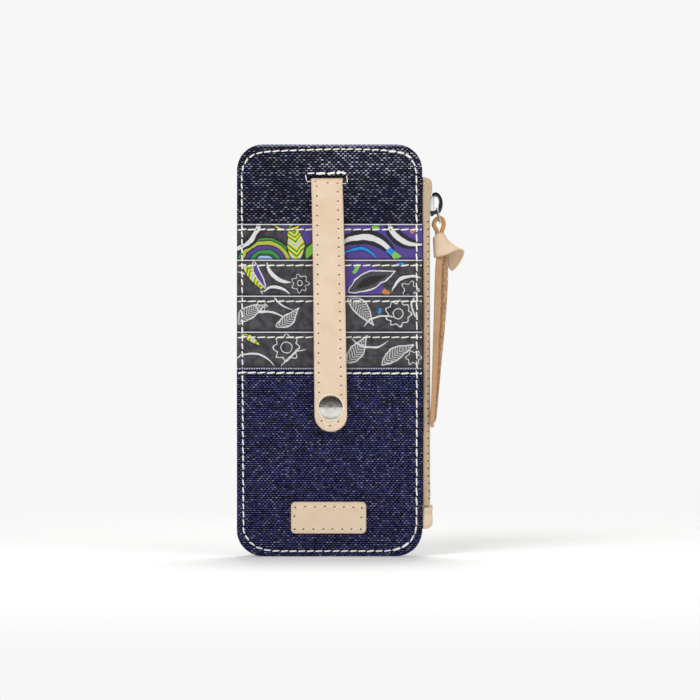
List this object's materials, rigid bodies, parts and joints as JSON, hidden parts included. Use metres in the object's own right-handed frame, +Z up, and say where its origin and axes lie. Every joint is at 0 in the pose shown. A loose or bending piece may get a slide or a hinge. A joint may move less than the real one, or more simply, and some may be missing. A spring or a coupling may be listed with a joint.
{
  "type": "card organizer",
  "caption": "Slim upright fabric card organizer with stepped pockets, a leather strap on a press stud, and a side zip with a leather pull.",
  "frame": {"origin": "in the middle of the back panel's bottom edge, on the level that the part stands on", "axes": "+X to the zip side, +Y from the front to the back, +Z up; the pockets face -Y"},
  "size_m": [0.1165, 0.0198, 0.211],
  "materials": {
    "denim": "coarse woven navy cloth",
    "board": "plain flexible board",
    "lining": "plain thin cloth",
    "printed_cloth": "smooth printed cloth",
    "leather": "smooth undyed leather",
    "zip_cloth": "twill tape",
    "snap_metal": "polished nickel",
    "zip_metal": "polished nickel"
  },
  "bodies": {
    "body": {"front_panel": "denim", "back_panel": "denim", "lower_pocket": "denim", "front_stiffener": "board", "back_stiffener": "board", "front_lining": "lining", "back_lining": "lining", "card_pocket_1": "printed_cloth", "card_pocket_2": "printed_cloth", "card_pocket_3": "printed_cloth", "card_pocket_4": "printed_cloth", "label_patch": "leather", "strap_anchor": "leather", "snap_stud": "snap_metal", "snap_post": "snap_metal", "zip_tape_front": "zip_cloth", "zip_tape_back": "zip_cloth", "zip_teeth_front": "zip_metal", "zip_teeth_back": "zip_metal", "zip_top_stop_front": "zip_metal", "zip_top_stop_back": "zip_metal", "zip_bottom_stop": "zip_metal", "zip_end_tab": "leather"},
    "strap": {"strap_front": "leather", "strap_back": "leather", "snap_cap": "snap_metal", "snap_socket": "snap_metal", "snap_spring": "snap_metal"},
    "slider": {"slider_body": "zip_metal", "slider_bail": "zip_metal"},
    "link": {"pull_ring": "zip_metal"},
    "tassel": {"tassel_loop": "leather", "tassel_wrap": "leather", "tassel_tail_left": "leather", "tassel_tail_right": "leather"}
  },
  "joints": [
    {"name": "strap_hinge", "type": "hinge", "parent": "body", "child": "strap", "pos_m": [-0.001, -0.00405, 0.1934], "axis": [-1, 0, 0], "range_deg": [0, 150]},
    {"name": "slider_slide", "type": "slide", "parent": "body", "child": "slider", "axis": [0, 0, -1], "range_m": [0, 0.141], "deforming": ["zip_teeth_front", "zip_teeth_back", "zip_tape_front", "zip_tape_back"]},
    {"name": "ring_pivot", "type": "hinge", "parent": "slider", "child": "link", "pos_m": [0.0551, 0.00055, 0.1782], "axis": [0, -1, 0], "range_deg": [0, 90]},
    {"name": "tassel_swing", "type": "hinge", "parent": "link", "child": "tassel", "pos_m": [0.0568, 0.00055, 0.1712], "axis": [0, -1, 0], "range_deg": [0, 60]}
  ]
}
